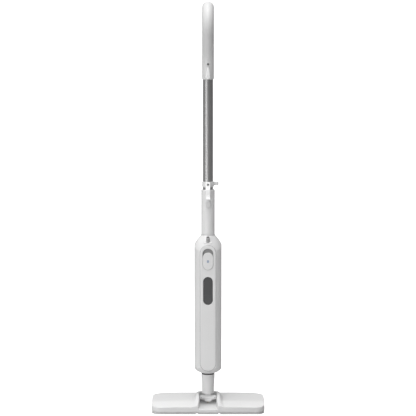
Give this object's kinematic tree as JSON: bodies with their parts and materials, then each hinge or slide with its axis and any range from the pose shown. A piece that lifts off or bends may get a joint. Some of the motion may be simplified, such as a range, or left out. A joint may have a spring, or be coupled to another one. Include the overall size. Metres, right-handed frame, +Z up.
{
  "type": "steam mop",
  "caption": "Upright corded steam mop: loop handle with cord hooks, aluminium tube, slim body with slide switch and water window, swivelling neck and flat mop head.",
  "frame": {"origin": "middle of the head's underside, on the floor", "axes": "+Z up along the stick, +X to the user's right as they face the switch side, -Y towards the switch side"},
  "size_m": [0.317, 0.1836, 1.1454],
  "materials": {
    "white_plastic": "fine satin",
    "grey_plastic": "matt",
    "gland_rubber": "matt",
    "seal_rubber": "matt",
    "tube_aluminium": "satin brushed",
    "cast_metal": "as cast",
    "steel": "zinc plated",
    "smoked_lens": "smoked gloss",
    "lens_plastic": "frosted",
    "tank_plastic": "clear moulded",
    "hose_rubber": "silicone",
    "hook_fabric": "hook tape",
    "board_green": "solder mask",
    "lead_insulation": "smooth"
  },
  "bodies": {
    "head": {"base_plate": "grey_plastic", "head_cover": "white_plastic", "hook_and_loop_strips": "hook_fabric", "head_screws": "steel", "steam_manifold": "grey_plastic", "head_hose": "hose_rubber", "pitch_axle": "steel"},
    "joint_block": {"crosspiece": "white_plastic", "pitch_bushes": "grey_plastic"},
    "stick": {"roll_pin": "steel", "stem": "white_plastic", "stem_seal": "seal_rubber", "front_shell": "white_plastic", "rear_shell": "white_plastic", "body_screws": "steel", "front_panel": "white_plastic", "tank_window": "smoked_lens", "microswitch": "grey_plastic", "control_board": "board_green", "indicator_light": "lens_plastic", "water_tank": "tank_plastic", "water_pump": "grey_plastic", "pump_bracket": "grey_plastic", "boiler": "cast_metal", "thermostat": "steel", "thermal_fuse": "steel", "boiler_bracket": "steel", "tank_hose": "hose_rubber", "feed_hose": "hose_rubber", "steam_pipe": "hose_rubber", "live_lead": "lead_insulation", "neutral_lead": "lead_insulation", "cord_gland": "gland_rubber", "cord_clamp": "grey_plastic", "neck_tube": "white_plastic", "aluminium_tube": "tube_aluminium", "lower_button_spring": "steel", "upper_button_spring": "steel", "lower_collar": "white_plastic", "lower_cord_hook": "white_plastic", "hook_screw": "steel", "upper_collar": "white_plastic", "hook_pivot_pin": "steel", "handle_left": "white_plastic", "handle_right": "white_plastic", "handle_screws": "steel"},
    "switch": {"switch_knob": "white_plastic", "switch_lens": "lens_plastic"},
    "lower_button": {"lower_release_button": "white_plastic"},
    "upper_button": {"upper_release_button": "white_plastic"},
    "cord_hook": {"upper_cord_hook": "white_plastic"},
    "tank_cap": {"fill_cap": "white_plastic", "cap_seal": "gland_rubber"}
  },
  "joints": [
    {"name": "pitch", "type": "hinge", "parent": "head", "child": "joint_block", "pos_m": [0, 0, 0.0312], "axis": [1, 0, 0], "range_deg": [0, 70]},
    {"name": "roll", "type": "hinge", "parent": "joint_block", "child": "stick", "pos_m": [0, 0, 0.051], "axis": [0, 1, 0], "range_deg": [-20, 20]},
    {"name": "switch_slide", "type": "slide", "parent": "stick", "child": "switch", "axis": [0, 0, 1], "range_m": [0, 0.01]},
    {"name": "lower_press", "type": "slide", "parent": "stick", "child": "lower_button", "axis": [0, 1, 0], "range_m": [0, 0.002], "stiffness_N_per_m": 800, "deforming": ["lower_button_spring"]},
    {"name": "upper_press", "type": "slide", "parent": "stick", "child": "upper_button", "axis": [0, 1, 0], "range_m": [0, 0.002], "stiffness_N_per_m": 800, "deforming": ["upper_button_spring"]},
    {"name": "hook_swivel", "type": "hinge", "parent": "stick", "child": "cord_hook", "pos_m": [0, -0.0305, 0.939], "axis": [0, 1, 0], "range_deg": [0, 180]},
    {"name": "cap_turn", "type": "hinge", "parent": "stick", "child": "tank_cap", "pos_m": [0, 0.037, 0.368], "axis": [0, 1, 0], "range_deg": [0, 90]}
  ]
}
